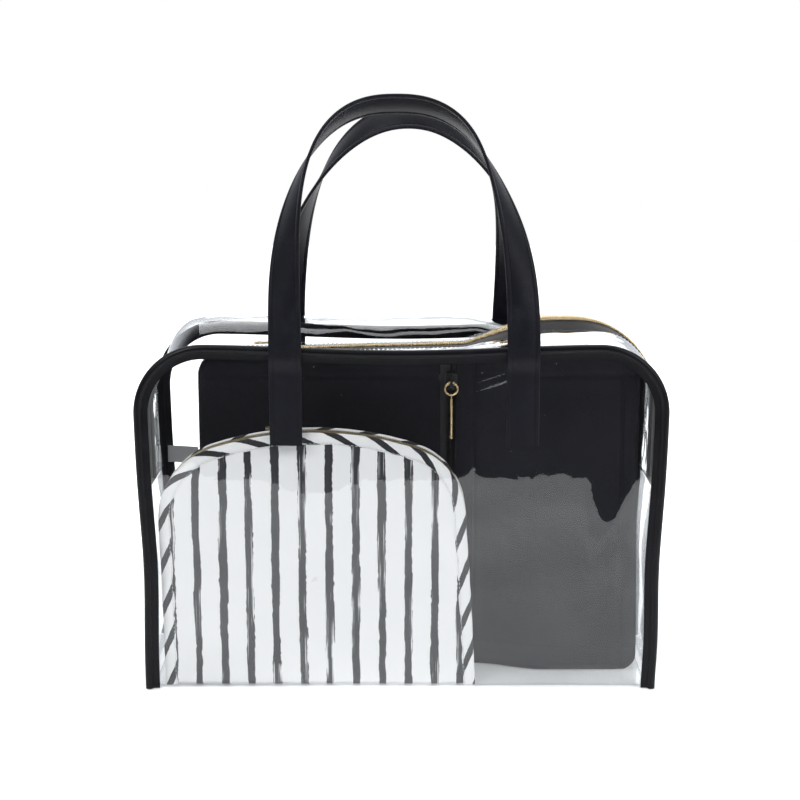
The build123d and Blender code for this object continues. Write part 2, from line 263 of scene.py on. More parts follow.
def resample(points, count):
    """The same line as count evenly spaced points."""
    pts = np.array([tuple(p) for p in points], float)
    gaps = np.linalg.norm(np.diff(pts, axis=0), axis=1)
    at = np.concatenate([[0], np.cumsum(gaps)])
    want = np.linspace(0, at[-1], count)
    return np.stack([np.interp(want, at, pts[:, k]) for k in range(pts.shape[1])], 1)


# ---------------------------------------------------------------- material helpers


class Shader:
    """A small node-tree writer for one material."""

    def __init__(self, name):
        self.material = bpy.data.materials.new(name)
        self.material.use_nodes = True
        self.nodes = self.material.node_tree.nodes
        self.links = self.material.node_tree.links
        self.nodes.clear()
        self.output = self.nodes.new("ShaderNodeOutputMaterial")

    def node(self, kind, values=None, **settings):
        made = self.nodes.new("ShaderNode" + kind)
        for key, value in settings.items():
            setattr(made, key, value)
        for key, value in (values or {}).items():
            self.put(made.inputs[key], value)
        return made

    def put(self, socket, value):
        if isinstance(value, bpy.types.NodeSocket):
            self.links.new(value, socket)
        else:
            socket.default_value = value

    def math(self, operation, a, b=0.0, c=0.0, clamp=False):
        made = self.node("Math", operation=operation, use_clamp=clamp)
        for socket, value in zip(made.inputs, (a, b, c)):
            self.put(socket, value)
        return made.outputs[0]

    def ramp(self, value, low, high, start=0.0, end=1.0):
        made = self.node("MapRange", clamp=True)
        made.interpolation_type = "SMOOTHSTEP"
        for socket, put in zip(made.inputs, (value, low, high, start, end)):
            self.put(socket, put)
        return made.outputs[0]

    def mix(self, factor, a, b):
        made = self.node("Mix", data_type="RGBA")
        self.put(made.inputs[0], factor)
        self.put(made.inputs[6], a)
        self.put(made.inputs[7], b)
        return made.outputs[2]

    def place(self, kind="Object"):
        return self.node("TexCoord").outputs[kind]

    def stretch(self, vector, scale):
        made = self.node("Mapping")
        self.links.new(vector, made.inputs[0])
        made.inputs["Scale"].default_value = scale
        return made.outputs[0]

    def noise(self, vector, scale, detail=3.0, rough=0.55):
        made = self.node("TexNoise", {"Scale": scale, "Detail": detail, "Roughness": rough})
        self.links.new(vector, made.inputs["Vector"])
        return made.outputs[0]

    def cells(self, vector, scale, feature="F1"):
        made = self.node("TexVoronoi", {"Scale": scale}, feature=feature)
        self.links.new(vector, made.inputs["Vector"])
        return made.outputs["Distance"]

    def bump(self, height, distance, strength=1.0, normal=None):
        made = self.node("Bump", {"Height": height, "Distance": distance, "Strength": strength})
        if normal is not None:
            self.links.new(normal, made.inputs["Normal"])
        return made.outputs[0]

    def surface(self, **values):
        made = self.node("BsdfPrincipled")
        for key, value in values.items():
            self.put(made.inputs[key.replace("_", " ")], value)
        self.links.new(made.outputs[0], self.output.inputs[0])
        return self.material


def rgb(r, g, b):
    return (r, g, b, 1.0)


def clear_film(name="clear vinyl", edge=4.6):
    """Soft clear vinyl: see-through, with a gloss that grows towards grazing and a grey edge."""
    s = Shader(name)
    spot = s.place()
    facing = s.node("LayerWeight", {"Blend": 0.5}).outputs["Facing"]
    gloss = s.math("MULTIPLY_ADD", s.math("POWER", facing, edge), 0.85, 0.035)
    tint = s.mix(s.math("POWER", facing, 3.0), rgb(0.985, 0.988, 0.988), rgb(0.62, 0.64, 0.655))
    haze = s.noise(spot, 14.0, 4.0)
    scuff = s.ramp(s.noise(s.stretch(spot, (60, 60, 9)), 6.0, 6.0), 0.55, 0.8)
    rough = s.math("MULTIPLY_ADD", s.math("MULTIPLY", haze, scuff), 0.10, 0.012)
    normal = s.bump(s.noise(spot, 55.0, 2.0), 0.00012, 0.5)
    through = s.node("BsdfTransparent", {"Color": tint})
    shine = s.node("BsdfGlossy", {"Color": rgb(0.97, 0.98, 1.0), "Roughness": rough, "Normal": normal})
    both = s.node("MixShader", {0: gloss})
    s.links.new(through.outputs[0], both.inputs[1])
    s.links.new(shine.outputs[0], both.inputs[2])
    s.links.new(both.outputs[0], s.output.inputs[0])
    return s.material


def black_vinyl():
    """Smooth black piping vinyl with a fine pressed grain and paler rubbed spots."""
    s = Shader("black vinyl")
    spot = s.place()
    grain = s.cells(spot, 1600.0)
    rub = s.ramp(s.noise(spot, 60.0, 5.0), 0.5, 0.85)
    colour = s.mix(rub, rgb(0.0022, 0.0024, 0.0042), rgb(0.0055, 0.006, 0.010))
    rough = s.math("MULTIPLY_ADD", rub, 0.16, 0.36)
    normal = s.bump(grain, 0.00008, 0.6, s.bump(s.noise(spot, 160.0), 0.0003, 0.25))
    return s.surface(Base_Color=colour, Roughness=rough, Normal=normal, Specular_IOR_Level=0.2)


def strap_leather():
    """Matte imitation leather: pebbled grain, a blue-black cast, a little wear at random."""
    s = Shader("black strap")
    spot = s.place()
    pebble = s.cells(spot, 1100.0, "SMOOTH_F1")
    fine = s.noise(spot, 2600.0, 2.0)
    wear = s.ramp(s.noise(spot, 45.0, 6.0, 0.65), 0.48, 0.8)
    colour = s.mix(wear, rgb(0.0052, 0.0056, 0.0094), rgb(0.0125, 0.0135, 0.022))
    # The pebbled grain is painted darker in its pits, where the bump sinks: painted shade.
    colour = s.mix(s.ramp(pebble, 0.0, 0.5), rgb(0.0048, 0.0052, 0.0086), colour)
    rough = s.math("MULTIPLY_ADD", wear, 0.12, 0.46)
    normal = s.bump(pebble, 0.00016, 0.7, s.bump(fine, 0.00006, 0.6))
    return s.surface(Base_Color=colour, Roughness=rough, Normal=normal, Specular_IOR_Level=0.17)


def thread(name, colour):
    """Twisted sewing thread."""
    s = Shader(name)
    twist = s.node("TexWave", {"Scale": 900.0, "Distortion": 1.0}, bands_direction="DIAGONAL")
    s.links.new(s.place(), twist.inputs["Vector"])
    # The thread is painted darker in the grooves of its twist, where the bump sinks: painted shade.
    painted_twist_shade = s.mix(twist.outputs["Fac"], rgb(*[0.6 * c for c in colour]), rgb(*colour))
    normal = s.bump(twist.outputs["Fac"], 0.0001)
    return s.surface(Base_Color=painted_twist_shade, Roughness=0.7, Normal=normal, Specular_IOR_Level=0.17)


def twill_tape():
    """Black zipper tape: a diagonal twill with a fine fuzz."""
    s = Shader("black tape")
    place = s.place("UV")
    twill = s.node("TexWave", {"Scale": 420.0, "Distortion": 0.4}, bands_direction="DIAGONAL")
    s.links.new(place, twill.inputs["Vector"])
    fuzz = s.noise(s.place(), 900.0, 3.0)
    # The tape is painted darker in the low places of its twill, where the bump sinks: painted shade.
    colour = s.mix(twill.outputs["Fac"], rgb(0.006, 0.006, 0.007), rgb(0.022, 0.022, 0.025))
    normal = s.bump(twill.outputs["Fac"], 0.00018, 0.8, s.bump(fuzz, 0.0001, 0.5))
    return s.surface(Base_Color=colour, Roughness=0.82, Normal=normal, Sheen_Weight=0.25)


def metal(name, colour, dark, rough):
    """Plated cast metal, slightly uneven, dull and darker where it has rubbed."""
    s = Shader(name)
    spot = s.place()
    worn = s.ramp(s.noise(spot, 320.0, 5.0, 0.6), 0.45, 0.75)
    tone = s.mix(worn, rgb(*colour), rgb(*dark))
    roughness = s.math("MULTIPLY_ADD", worn, 0.16, rough)
    normal = s.bump(s.noise(spot, 1400.0, 3.0), 0.00005, 0.5)
    return s.surface(Base_Color=tone, Metallic=1.0, Roughness=roughness, Normal=normal)


WEAVE = 560.0  # how finely the striped cloth is woven
STRIPE_PERIOD = 19.0 * MM
STRIPE_PHASE = -52 * MM
STRIPE_HALF = 2.9 * MM
CLOTH_WHITE = rgb(0.93, 0.93, 0.932)
INK = rgb(0.014, 0.015, 0.019)
BIAS = -2.1  # run along the binding for each step across it
BIAS_PERIOD = 31 * MM


def weave_height(s):
    """Plain-weave height from two crossed waves in object space."""
    spot = s.place()
    over = s.node("TexWave", {"Scale": WEAVE, "Distortion": 0.6}, bands_direction="X")
    under = s.node("TexWave", {"Scale": WEAVE, "Distortion": 0.6}, bands_direction="Z")
    s.links.new(spot, over.inputs["Vector"])
    s.links.new(spot, under.inputs["Vector"])
    return s.math("MULTIPLY", over.outputs["Fac"], under.outputs["Fac"])


def brushed_stripes(s):
    """How much ink lies at a point: upright brush strokes with wavy, stepped, dry edges."""
    spot = s.place()
    axes = s.node("SeparateXYZ")
    s.links.new(spot, axes.inputs[0])
    x = axes.outputs[0]
    sway = s.math("MULTIPLY_ADD", s.noise(s.stretch(spot, (26, 1, 5)), 1.0, 2.0), 3.4 * MM, -1.7 * MM)
    step = s.noise(s.stretch(spot, (24, 1, 48)), 1.0, 1.0)
    sway = s.math("ADD", sway, s.ramp(step, 0.47, 0.53, -0.26 * MM, 0.26 * MM))
    phase = s.math("DIVIDE", s.math("SUBTRACT", s.math("ADD", x, sway), STRIPE_PHASE), STRIPE_PERIOD)
    side = s.math("SUBTRACT", phase, s.math("ROUND", phase))
    away = s.math("MULTIPLY", s.math("ABSOLUTE", side), STRIPE_PERIOD)
    broad = s.noise(s.stretch(spot, (55, 1, 14)), 1.0, 3.0, 0.6)
    width = s.math("MULTIPLY_ADD", broad, 4.4 * MM, STRIPE_HALF - 2.2 * MM)
    edge = s.noise(s.stretch(spot, (420, 1, 300)), 1.0, 4.0, 0.75)
    width = s.math("MULTIPLY_ADD", s.math("SUBTRACT", edge, 0.5), 2.6 * MM, width)
    ink = s.ramp(s.math("SUBTRACT", width, away), 0.0, 0.22 * MM)
    streak = s.noise(s.stretch(spot, (1150, 1, 20)), 1.0, 2.0, 0.5)
    bare = s.ramp(s.noise(s.stretch(spot, (52, 1, 19)), 1.0, 2.0), 0.50, 0.60)
    rim = s.ramp(s.math("DIVIDE", away, width), 0.15, 0.75)
    gap = s.math("MULTIPLY", s.ramp(streak, 0.50, 0.57), s.math("MULTIPLY", rim, bare))
    return s.math("MULTIPLY", ink, s.math("SUBTRACT", 1.0, gap), clamp=True)


def striped_cloth():
    """White plain-weave cotton with hand-brushed black stripes."""
    s = Shader("striped cloth")
    weave = weave_height(s)
    ink = brushed_stripes(s)
    soil = s.noise(s.place(), 9.0, 4.0)
    white = s.mix(s.ramp(soil, 0.35, 0.75), CLOTH_WHITE, rgb(0.89, 0.895, 0.905))
    # The weave is painted darker in its low places between the threads, where the bump sinks: painted
    # shade.
    white = s.mix(weave, rgb(0.85, 0.855, 0.865), white)
    colour = s.mix(ink, white, INK)
    rough = s.math("MULTIPLY_ADD", ink, -0.2, 0.85)
    normal = s.bump(weave, 0.00016, 0.6, s.bump(s.noise(s.place(), 45.0, 3.0), 0.0012, 0.35))
    return s.surface(Base_Color=colour, Roughness=rough, Normal=normal, Sheen_Weight=0.15)


def binding_cloth():
    """The striped cloth cut on the bias, so that its stripes slant across the binding."""
    s = Shader("striped binding")
    axes = s.node("SeparateXYZ")
    s.links.new(s.place("UV"), axes.inputs[0])
    wobble = s.math("MULTIPLY_ADD", s.noise(s.place(), 90.0, 4.0), 4.0 * MM, -2.0 * MM)
    along = s.math("MULTIPLY_ADD", axes.outputs[1], BIAS, axes.outputs[0])
    phase = s.math("DIVIDE", s.math("ADD", along, wobble), BIAS_PERIOD)
    off = s.math("ABSOLUTE", s.math("SUBTRACT", phase, s.math("ROUND", phase)))
    rough_edge = s.math("MULTIPLY_ADD", s.noise(s.place(), 700.0, 3.0, 0.7), 0.07, -0.035)
    ink = s.ramp(s.math("ADD", off, rough_edge), 0.150, 0.175, 1.0, 0.0)
    weave = weave_height(s)
    # The weave is painted darker in its low places between the threads, where the bump sinks: painted
    # shade.
    white = s.mix(weave, rgb(0.84, 0.845, 0.855), CLOTH_WHITE)
    colour = s.mix(ink, white, INK)
    normal = s.bump(weave, 0.00016, 0.6, s.bump(s.noise(s.place(), 120.0), 0.0006, 0.4))
    return s.surface(Base_Color=colour, Roughness=0.85, Normal=normal, Sheen_Weight=0.15)


def black_cloth():
    """Soft brushed black cloth with a nap, faint rubbed patches and pale lint."""
    s = Shader("black cloth")
    spot = s.place()
    nap = s.noise(spot, 900.0, 4.0, 0.7)
    patch = s.noise(spot, 16.0, 5.0, 0.6)
    colour = s.mix(s.ramp(patch, 0.35, 0.7), rgb(0.0034, 0.0034, 0.0058), rgb(0.0065, 0.0065, 0.011))
    # The nap is painted lighter on its raised fibres and darker between them: painted sheen and shade.
    colour = s.mix(s.ramp(nap, 0.4, 0.8), colour, rgb(0.010, 0.010, 0.017))
    lint = s.ramp(s.cells(s.stretch(spot, (1, 1, 0.45)), 330.0), 0.055, 0.085, 1.0, 0.0)
    few = s.ramp(s.noise(spot, 190.0, 2.0), 0.64, 0.70)
    colour = s.mix(s.math("MULTIPLY", lint, few), colour, rgb(0.35, 0.34, 0.33))
    normal = s.bump(nap, 0.00022, 0.7, s.bump(s.noise(spot, 38.0, 4.0), 0.0016, 0.5))
    return s.surface(
        Base_Color=colour, Roughness=0.88, Normal=normal, Sheen_Weight=0.08, Specular_IOR_Level=0.25
    )


def label_satin():
    """Blank grey satin label."""
    s = Shader("grey label")
    rib = s.node("TexWave", {"Scale": 700.0, "Distortion": 0.2}, bands_direction="Z")
    s.links.new(s.place(), rib.inputs["Vector"])
    # The satin ribs are painted lighter on top and darker between them: painted sheen and shade.
    colour = s.mix(rib.outputs["Fac"], rgb(0.34, 0.34, 0.345), rgb(0.46, 0.46, 0.465))
    return s.surface(Base_Color=colour, Roughness=0.5, Normal=s.bump(rib.outputs["Fac"], 0.0001))


MATERIALS = {
    "clear_film": clear_film(),
    "black_piping": black_vinyl(),
    "black_strap": strap_leather(),
    "grey_label": label_satin(),
    "gold_metal": metal("gold metal", (0.86, 0.66, 0.36), (0.62, 0.44, 0.22), 0.22),
    "black_metal": metal("black metal", (0.05, 0.05, 0.052), (0.02, 0.02, 0.021), 0.4),
    "antique_metal": metal("antique metal", (0.46, 0.37, 0.23), (0.20, 0.15, 0.09), 0.34),
    "black_coil": metal("black coil", (0.03, 0.03, 0.03), (0.015, 0.015, 0.015), 0.4),
    "antique_coil": metal("antique coil", (0.55, 0.44, 0.27), (0.30, 0.23, 0.14), 0.30),
    "gold_coil": metal("gold coil", (0.90, 0.74, 0.46), (0.66, 0.50, 0.27), 0.24),
    "black_tape": twill_tape(),
    "striped_binding": binding_cloth(),
    "striped_cloth": striped_cloth(),
    "black_cloth": black_cloth(),
}
BLACK_THREAD = thread("black thread", (0.006, 0.006, 0.008))
WHITE_THREAD = thread("white thread", (0.75, 0.76, 0.78))
SLACK_FILM = clear_film("slack vinyl", 2.2)


def dress(obj, slot, body, replaced=(), material=None):
    """Gives a piece its material, looked up by slot unless one is given, and lets it ride on a body in
    place of CAD nodes.
    """
    obj.data.materials.clear()
    obj.data.materials.append(material or MATERIALS[slot])
    if body:
        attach(obj, body)
    if replaced:
        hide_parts(*replaced)


# ---------------------------------------------------------------- camera, light and floor

CAMERA_HEIGHT = 437 * MM
CAMERA_AWAY = 1161 * MM
CAMERA_LEFT = 1.0 * MM
PITCH = math.radians(10.9)
LENS, SENSOR = 75.6, 36
FLOOR_AHEAD = 0.66  # how far the pale floor reaches in front of the bag
FLOOR_SIDE, FLOOR_END, FLOOR_DROP = 2.6, 3.2, 0.0004
ROOM_FRONT, ROOM_BACK = 0.05, 0.95  # how bright the room is before and behind the bag
ROOM_TURNS = (-0.25, 0.55)  # where it starts and stops brightening, from ahead (-1) to behind (1)
LIGHT_TARGET = Vector((0, 0, 0.2))


def add_camera():
    data = bpy.data.cameras.new("camera")
    data.lens = LENS
    data.sensor_width = SENSOR
    obj = bpy.data.objects.new("camera", data)
    obj.location = (-CAMERA_LEFT, -HALF_DEPTH - CAMERA_AWAY, CAMERA_HEIGHT)
    obj.rotation_euler = (math.pi / 2 - PITCH, 0, 0)
    bpy.context.scene.collection.objects.link(obj)
    bpy.context.scene.camera = obj


def add_light(name, place, size, power):
    data = bpy.data.lights.new(name, "AREA")
    data.shape = "RECTANGLE"
    data.size, data.size_y = size
    data.energy = power
    obj = bpy.data.objects.new(name, data)
    obj.location = place
    toward = LIGHT_TARGET - Vector(place)
    obj.rotation_euler = toward.to_track_quat("-Z", "Y").to_euler()
    bpy.context.scene.collection.objects.link(obj)


def add_world():
    """White where the camera looks past the floor; a dimmer studio for light and reflections."""
    world = bpy.data.worlds.new("studio")
    world.use_nodes = True
    nodes, links = world.node_tree.nodes, world.node_tree.links
    nodes.clear()
    seen = nodes.new("ShaderNodeLightPath")
    white = nodes.new("ShaderNodeBackground")
    white.inputs[0].default_value = (1, 1, 1, 1)
    white.inputs[1].default_value = 1.0
    room = nodes.new("ShaderNodeBackground")
    way = nodes.new("ShaderNodeTexCoord")
    axes = nodes.new("ShaderNodeSeparateXYZ")
    fade = nodes.new("ShaderNodeMapRange")
    fade.interpolation_type = "SMOOTHSTEP"
    for socket, value in zip(fade.inputs[1:5], (*ROOM_TURNS, ROOM_FRONT, ROOM_BACK)):
        socket.default_value = value
    links.new(way.outputs["Generated"], axes.inputs[0])
    links.new(axes.outputs[1], fade.inputs[0])
    room.inputs[0].default_value = (0.93, 0.96, 1.0, 1)
    links.new(fade.outputs[0], room.inputs[1])
    mix = nodes.new("ShaderNodeMixShader")
    out = nodes.new("ShaderNodeOutputWorld")
    links.new(seen.outputs["Is Camera Ray"], mix.inputs[0])
    links.new(room.outputs[0], mix.inputs[1])
    links.new(white.outputs[0], mix.inputs[2])
    links.new(mix.outputs[0], out.inputs[0])
    bpy.context.scene.world = world


def add_floor():
    """A pale sheet that glows unevenly under the bag and evenly white away behind it."""
    near = -HALF_DEPTH - FLOOR_AHEAD
    xs = np.linspace(-FLOOR_SIDE, FLOOR_SIDE, 14)
    ys = np.linspace(near, FLOOR_END, 14)
    rows = [[(x, y, -FLOOR_DROP) for x in xs] for y in ys]
    floor = grid("floor", rows)
    s = Shader("pale floor")
    tone = s.mix(s.noise(s.place(), 3.0), rgb(0.93, 0.93, 0.93), rgb(0.96, 0.96, 0.96))
    axes = s.node("SeparateXYZ")
    s.links.new(s.place(), axes.inputs[0])
    cloud = s.ramp(s.noise(s.place(), 4.5, 2.0), 0.35, 0.65, 0.22, 0.50)
    cloud = s.math("MAXIMUM", cloud, s.ramp(axes.outputs[1], 0.05, 0.5, 0.0, 1.0))
    glow = {"Emission_Color": tone, "Emission_Strength": cloud}
    floor.data.materials.append(s.surface(Base_Color=tone, Roughness=0.75, **glow))


bpy.context.scene.view_settings.view_transform = "Standard"
bpy.context.scene.cycles.transparent_max_bounces = 32
add_camera()
add_world()
add_floor()
add_light("key", (-1.3, -1.5, 1.9), (1.3, 1.3), 40)
add_light("fill", (1.5, -1.1, 1.3), (1.1, 1.4), 24)
add_light("top", (0, 0.25, 2.1), (1.8, 1.4), 16)
add_light("back", (0.3, 1.9, 1.2), (1.8, 1.0), 9)

# ---------------------------------------------------------------- the clear bag

ZIP_LEFT, ZIP_MIDDLE, ZIP_RIGHT = 237.5 * MM, 243.5 * MM, 263 * MM
TAPE = 0.6 * MM
TAPE_WIDTH = 16.5 * MM
COIL_PITCH = 1.6 * MM
HINGE_Y, HINGE_Z = HALF_DEPTH + 7 * MM, 252 * MM
RAMP_FOOT, RAMP_HEAD = 47 * MM, 98 * MM  # where the zipper starts and stops rising, along x
ZIP_BENDS = [45 * MM, 25 * MM, 60 * MM, 62 * MM]
TOP_DIP, LOW_DRAW, RIGHT_DRAW = 4.0 * MM, 2.4 * MM, 1.6 * MM
GUSSET_TUCK = {-1: 6 * MM, 1: 0.8 * MM}  # how far the left and right gussets fold inwards
BASE_LIFT = 1.6 * MM


def side_x(z):
    """Half the bag's width at a height."""
    return HALF_BOTTOM + (HALF_TOP - HALF_BOTTOM) * z / TOP


def settle(x, z):
    """How the soft bag has sunk: its top dips between the corners, its sides draw in low down."""
    dip = -TOP_DIP * (0.5 + 0.5 * math.cos(math.pi * min(abs(x) / 0.15, 1.0)))
    dip *= smooth_step((z - 0.16) / 0.09)
    draw = -LOW_DRAW * bell((z - 0.09) / 0.05) - (RIGHT_DRAW * bell(z / 0.03) if x > 0 else 0.0)
    return x + draw * x / HALF_TOP, z + dip


def bag_line(low):
    """The piping's centre line above a height, settled, with its outward normals."""
    corners = [(-side_x(low), low), (-HALF_TOP, TOP), (HALF_TOP, TOP), (side_x(low), low)]
    points = fillet_path(corners, [CORNER, CORNER], 3 * MM)
    points = [Vector(settle(*p)) for p in points]
    normals = []
    for i in range(len(points)):
        t = (points[min(i + 1, len(points) - 1)] - points[max(i - 1, 0)]).normalized()
        normals.append(Vector((-t.y, t.x)))
    return points, normals


def half_width(z, inset):
    """Half width of a panel at a height, inside the piping's centre line by an inset."""
    if z <= TOP - CORNER:
        return side_x(z) - inset
    r = CORNER - inset
    return HALF_TOP - CORNER + math.sqrt(max(r * r - (z - TOP + CORNER) ** 2, 0.0))


FOLDS = [
    # x and z of the middle, run along x and z, half width, height: all in mm
    (79, 231, 31, 10, 1.1, 0.40),
    (66, 233, 20, 6, 0.9, 0.30),
    (98, 229, 5, 9, 0.9, 0.34),
    (104, 231, 4, 8, 0.9, 0.30),
    (112, 233, 8, 9, 1.3, 0.38),
    (-122, 240, 22, 2, 1.5, 0.40),
    (52, 189, 3, 30, 4.0, 0.30),
    (151, 114, 2, 40, 12.0, 2.3),
    (128, 52, 46, 25, 9.0, 0.7),
    (-66, 116, 0, 42, 30.0, 0.55),
    (-150, 190, 6, 46, 9.0, 0.8),
]


def film_wave(x, z):
    """How far the clear front bows, in metres towards the viewer."""
    wave = 0.45 * MM * ripple(x, z, 0.16, 1) + 0.12 * MM * ripple(x * 0.7, z, 0.07, 2)
    for fx, fz, dx, dz, width, height in FOLDS:
        reach = math.hypot(dx, dz)
        off_x, off_z = x / MM - fx, z / MM - fz
        along, across = (off_x * dx + off_z * dz) / reach, (off_z * dx - off_x * dz) / reach
        wave += height * MM * bell(along / reach) * bell(across / width)
    return wave


def body_rows():
    """Rows of the wrapped sheet: down the front, round the fold, back along the base and up."""
    inset, fold = 2.4 * MM, 5 * MM
    r = CORNER - inset
    heights = [TOP - CORNER + r * math.cos(math.pi / 2 * i / 52) for i in range(52)]
    heights += list(np.linspace(TOP - CORNER, fold, 104))
    front = [(-HALF_DEPTH, z) for z in heights]
    turn = [math.pi / 2 * i / 6 for i in range(1, 6)]
    arc = [(-HALF_DEPTH + fold - fold * math.cos(t), fold - fold * math.sin(t)) for t in turn]
    base = [(y, 0.0) for y in np.linspace(-HALF_DEPTH + fold, HALF_DEPTH - fold, 36)]
    back = [(-y, z) for y, z in (front + arc)[::-1]]
    columns = np.concatenate([
        np.linspace(-1, 0.2, 92),
        np.linspace(0.2, 0.72, 92)[1:],
        np.linspace(0.72, 1, 30)[1:],
    ])
    rows = []
    for y, z in front + arc + base + back:
        half = half_width(z, inset)
        upright = smooth_step((z - 6 * MM) / 0.03)
        row = []
        for u in columns:
            x = u * half
            edge = min(half - abs(x), TOP - z)
            free = smooth_step(edge / 0.028) * upright
            bow = film_wave(x, z) * free if y < 0 else film_wave(-0.8 * x, z + 0.3) * free
            out_y = y + bow * (-1 if y < 0 else 1)
            lift = BASE_LIFT * bell((x - 0.11) / 0.05) * bell((y + HALF_DEPTH) / 0.0035) * (z < 0.03)
            px, pz = settle(x, z)
            row.append((px, out_y, pz + lift + FILM / 2))
        rows.append(row)
    return rows


def make_body_film():
    obj = grid("clear_body", body_rows(), thickness=FILM)
    dress(obj, "clear_film", "bag", ["front_panel", "bottom_panel", "back_panel"])


def make_side_gusset(name, side):
    rows = []
    for z in np.linspace(0.4 * MM, GUSSET_TOP + 2 * MM, 60):
        row = []
        for y in np.linspace(-HALF_DEPTH + 0.5 * MM, HALF_DEPTH - 0.5 * MM, 48):
            x, pz = settle(side * side_x(z), z)
            middle = math.cos(math.pi * y / (2 * HALF_DEPTH)) ** 1.3
            tall = smooth_step(z / 0.03) * smooth_step((GUSSET_TOP - z) / 0.05)
            tuck = GUSSET_TUCK[side] * middle * bell((z - 0.075) / 0.05) * tall
            wave = 0.7 * MM * ripple(y, z, 0.05, 5 + side) * middle * tall
            row.append((x - side * (tuck + wave), y, pz))
        rows.append(row)
    obj = grid(name, rows, thickness=FILM)
    dress(obj, "clear_film", "bag", [name])


def zipper_path():
    """The top zipper's middle line, from the left gusset's head over to the right one's."""
    head = GUSSET_TOP
    corners = [
        (-side_x(head), head),
        (-HALF_TOP, ZIP_LEFT),
        (RAMP_FOOT, ZIP_MIDDLE),
        (RAMP_HEAD, ZIP_RIGHT),
        (HALF_TOP, ZIP_RIGHT),
        (side_x(head), head),
    ]
    points = fillet_path(corners, ZIP_BENDS, 2 * MM)
    return resample(points, 300)


ZIP_LINE = zipper_path()[20:-20]
COIL_EDGE = 3.6 * MM


def turn_zipper(at):
    """A zipper point where the raised end tips its coil forward and its back tape falls away."""
    middle = float(np.interp(at.x, ZIP_LINE[:, 0], ZIP_LINE[:, 1]))
    turn = math.radians(34) * smooth_step((at.x - 0.045) / 0.05) * smooth_step((0.172 - at.x) / 0.05)
    rise = at.z - middle
    near, behind = min(at.y, COIL_EDGE), max(at.y - COIL_EDGE, 0.0)
    y = (near + behind) * math.cos(turn) - rise * math.sin(turn)
    return Vector((at.x, y, middle + rise * math.cos(turn) + (near - behind) * math.sin(turn)))


def with_normals(points):
    """Points (x, z) as stations (point, tangent, outward normal) in the XZ plane."""
    out = []
    for i, p in enumerate(points):
        a, b = points[max(i - 1, 0)], points[min(i + 1, len(points) - 1)]
        t = (Vector((b[0], 0, b[1])) - Vector((a[0], 0, a[1]))).normalized()
        out.append((Vector((p[0], 0, p[1])), t, Vector((-t.z, 0, t.x))))
    return out


def make_top_strip(name, side):
    """Clear film between one piping and the zipper, bulging where it is slack."""
    outer, _ = bag_line(GUSSET_TOP)
    count = 190
    outer = resample(outer, count)
    inner = with_normals(resample(zipper_path(), count))
    rows = []
    for (ox, oz), (p, _, out) in zip(outer, inner):
        start = Vector((ox, side * (HALF_DEPTH - 0.6 * MM), oz))
        end = turn_zipper(p + Y * side * 13.2 * MM + out * 0.7 * MM)
        row = []
        for v in np.linspace(0, 1, 26):
            at = start.lerp(end, v)
            hump = 4 * v * (1 - v)
            if side > 0:
                wide = smooth_step((p.x + 0.178) / 0.03) * smooth_step((0.10 - p.x) / 0.05)
                swell = (12.5 * MM * wide + 2 * MM) * smooth_step((p.z - 0.19) / 0.03)
            else:
                swell = -2.5 * MM * bell((p.x + 0.05) / 0.08) + 3.0 * MM * bell((p.x - 0.12) / 0.04)
                swell *= smooth_step((p.z - 0.2) / 0.03)
            swell += 1.7 * MM * ripple(at.x + at.z, at.y, 0.034, 9 + side)
            fine = 0.35 * MM * ripple(at.x + at.z, at.y * 2, 0.012, 12 + side)
            row.append(at + out * hump * (swell + fine))
        rows.append(row)
    obj = grid(name, rows, thickness=FILM)
    dress(obj, "clear_film", "bag", [name], material=SLACK_FILM)


PIPE_PROFILE = (
    [(-7.4 * MM, -0.55 * MM), (-7.4 * MM, 0.55 * MM), (-3.6 * MM, 0.75 * MM)]
    + [
        (PIPE_R * math.cos(math.radians(a)), PIPE_R * math.sin(math.radians(a)))
        for a in (162, 140, 118, 96, 72, 48, 24, 0, -24, -48, -72, -96, -118, -140, -162)
    ]
    + [(-3.6 * MM, -0.75 * MM)]
)


def make_piping(name, side):
    """Vinyl piping over a cord: the round edge, its sewn-down flange and the flange's stitches."""
    points, normals = bag_line(0.3 * MM)
    stations, seam = [], []
    for i, (p, n) in enumerate(zip(points, normals)):
        wobble = 0.25 * MM * ripple(i * 0.01, 0.0, 0.06, 21 + side)
        out = Vector((n.x, 0, n.y))
        centre = Vector((p.x, side * (HALF_DEPTH + wobble), p.y))
        stations.append((centre, out, Y))
        seam.append((centre - out * 4.9 * MM + Y * side * 0.62 * MM, Y * side))
    cord = sweep(f"{name}_cord", stations, PIPE_PROFILE)
    sewn = stitches(f"{name}_thread", seam, radius=0.24 * MM)
    sewn.data.materials.append(BLACK_THREAD)
    dress(cord, "black_piping", "bag", [name])
    dress(sewn, "black_piping", "bag", material=BLACK_THREAD)


COIL_REACH, COIL_WIRE = 3.25 * MM, 0.34 * MM
COIL_STEPS, COIL_SIDES = 12, 5


